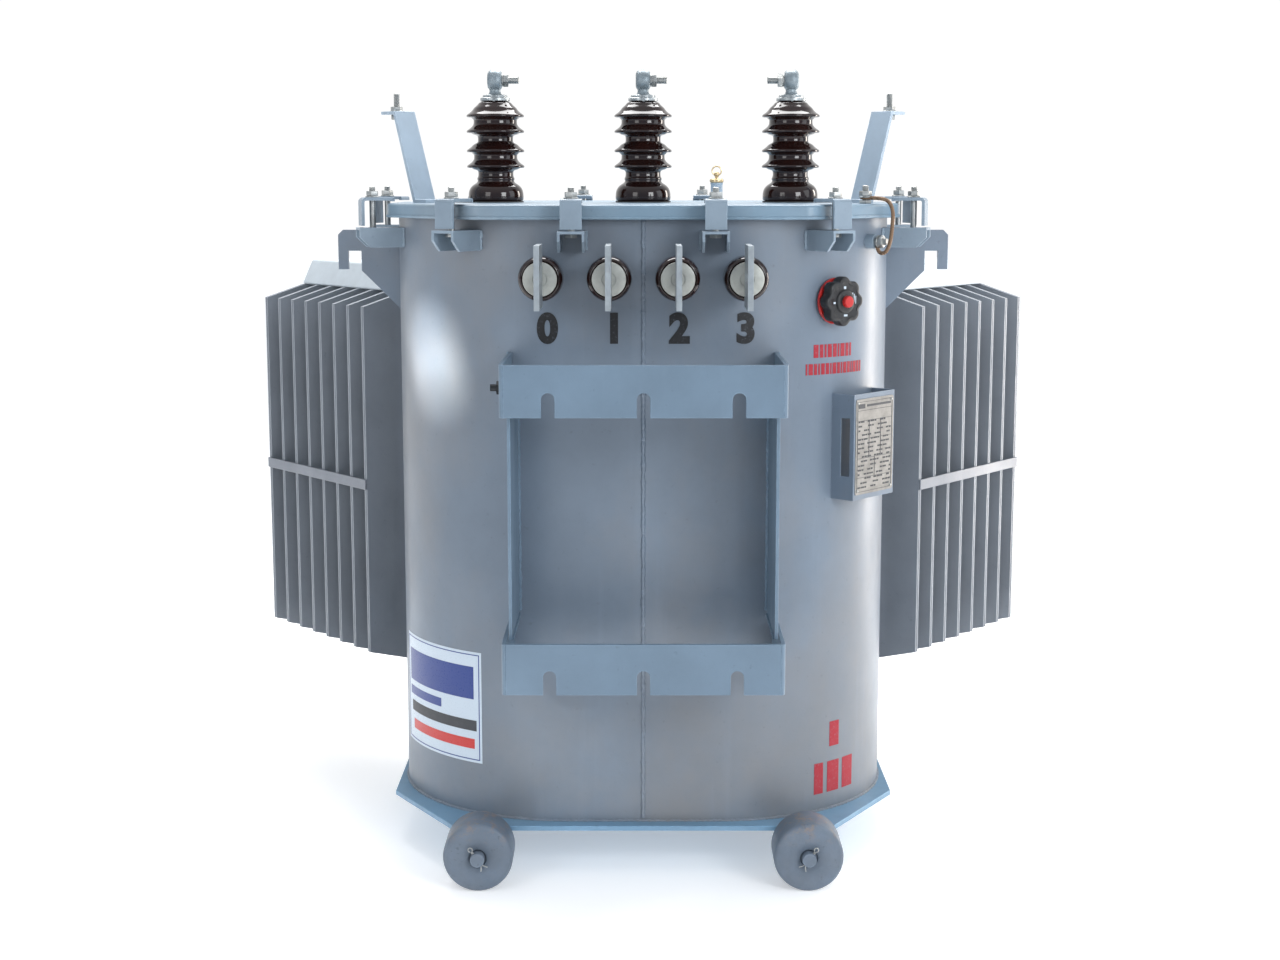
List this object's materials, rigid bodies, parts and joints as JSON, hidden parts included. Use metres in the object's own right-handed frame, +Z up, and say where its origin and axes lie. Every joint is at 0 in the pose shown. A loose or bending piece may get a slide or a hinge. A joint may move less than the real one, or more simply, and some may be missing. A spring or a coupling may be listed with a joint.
{
  "type": "distribution transformer",
  "caption": "Oil-filled three-phase distribution transformer on rollers: oval tank, clamped lid, brown bushings, two splayed fin radiators and pole brackets.",
  "frame": {"origin": "on the floor, under the middle of the tank", "axes": "+Z up, +X to the right seen from the low-voltage side, -Y towards the low-voltage bushings and pole brackets"},
  "size_m": [1.405, 1.0878, 1.243],
  "materials": {
    "tank_paint": "satin light blue-grey enamel",
    "radiator_paint": "satin blue-grey enamel in shade",
    "strap_paint": "satin light blue-grey enamel",
    "wheel_paint": "worn satin grey enamel on cast iron",
    "galvanised": "dull zinc",
    "dark_bolt": "blackened steel",
    "brown_porcelain": "gloss brown glaze",
    "tinned_metal": "tinned, slightly dull",
    "gasket_rubber": "matt",
    "black_moulding": "moulded, satin",
    "red_moulding": "moulded, satin",
    "shaft_steel": "turned",
    "valve_brass": "cast and turned",
    "plate_metal": "etched, satin",
    "jumper_copper": "tarnished braid",
    "core_steel": "stacked laminations",
    "yoke_steel": "primer",
    "winding_paper": "oiled paper and pressboard",
    "winding_metal": "insulated copper"
  },
  "bodies": {
    "transformer": {"arrester_bolts": "galvanised", "arrester_brackets": "tank_paint", "base_plate": "tank_paint", "bracket_bolt": "dark_bolt", "bracket_ribs": "tank_paint", "coil_packing": "winding_paper", "core": "core_steel", "core_clamps": "yoke_steel", "core_tie_rods": "yoke_steel", "earth_bolts": "galvanised", "earth_boss": "tank_paint", "earth_jumper": "jumper_copper", "hv_bushing_left": "brown_porcelain", "hv_bushing_middle": "brown_porcelain", "hv_bushing_right": "brown_porcelain", "hv_caps": "tinned_metal", "hv_gaskets": "gasket_rubber", "hv_leads": "winding_metal", "hv_terminal_heads": "tinned_metal", "hv_terminal_studs": "tinned_metal", "hv_windings": "winding_paper", "lid": "tank_paint", "lid_clamp_bolts": "galvanised", "lid_clamp_lugs": "tank_paint", "lid_clamp_nuts": "galvanised", "lid_clamp_straps": "tank_paint", "lid_gasket": "gasket_rubber", "lifting_lugs": "tank_paint", "lv_blades": "tinned_metal", "lv_bushings": "brown_porcelain", "lv_discs": "tinned_metal", "lv_leads": "winding_metal", "lv_windings": "winding_metal", "name_plate": "plate_metal", "name_plate_holder": "tank_paint", "name_plate_rivets": "plate_metal", "pole_bracket_lower": "tank_paint", "pole_bracket_upper": "tank_paint", "radiator_fins_left": "radiator_paint", "radiator_fins_right": "radiator_paint", "radiator_lower_pipe_left": "radiator_paint", "radiator_lower_pipe_right": "radiator_paint", "radiator_straps": "strap_paint", "radiator_upper_duct_left": "radiator_paint", "radiator_upper_duct_right": "radiator_paint", "relief_valve": "valve_brass", "tank_shell": "tank_paint", "tap_flange": "black_moulding", "tap_switch": "black_moulding", "wheel_axles": "galvanised", "wheel_beams": "tank_paint", "wheel_cotters": "galvanised"},
    "wheel_front_left": {"wheel_front_left": "wheel_paint"},
    "wheel_front_right": {"wheel_front_right": "wheel_paint"},
    "wheel_rear_left": {"wheel_rear_left": "wheel_paint"},
    "wheel_rear_right": {"wheel_rear_right": "wheel_paint"},
    "tap_knob": {"tap_knob": "black_moulding", "tap_lock_cap": "red_moulding", "tap_shaft": "shaft_steel"},
    "relief_pull": {"relief_pull_ring": "valve_brass"}
  },
  "joints": [
    {"name": "front_left_roll", "type": "hinge", "parent": "transformer", "child": "wheel_front_left", "pos_m": [-0.2505, -0.34, 0.053], "axis": [0, 1, 0], "continuous": true},
    {"name": "front_right_roll", "type": "hinge", "parent": "transformer", "child": "wheel_front_right", "pos_m": [0.2505, -0.34, 0.053], "axis": [0, 1, 0], "continuous": true},
    {"name": "rear_left_roll", "type": "hinge", "parent": "transformer", "child": "wheel_rear_left", "pos_m": [-0.2505, 0.34, 0.053], "axis": [0, 1, 0], "continuous": true},
    {"name": "rear_right_roll", "type": "hinge", "parent": "transformer", "child": "wheel_rear_right", "pos_m": [0.2505, 0.34, 0.053], "axis": [0, 1, 0], "continuous": true},
    {"name": "tap_turn", "type": "hinge", "parent": "transformer", "child": "tap_knob", "pos_m": [0.28931, -0.2167, 0.884], "axis": [0.6157, -0.788, 0], "range_deg": [-60, 60]},
    {"name": "relief_pull", "type": "slide", "parent": "transformer", "child": "relief_pull", "axis": [0, 0, 1], "range_m": [0, 0.004], "stiffness_N_per_m": 400}
  ]
}
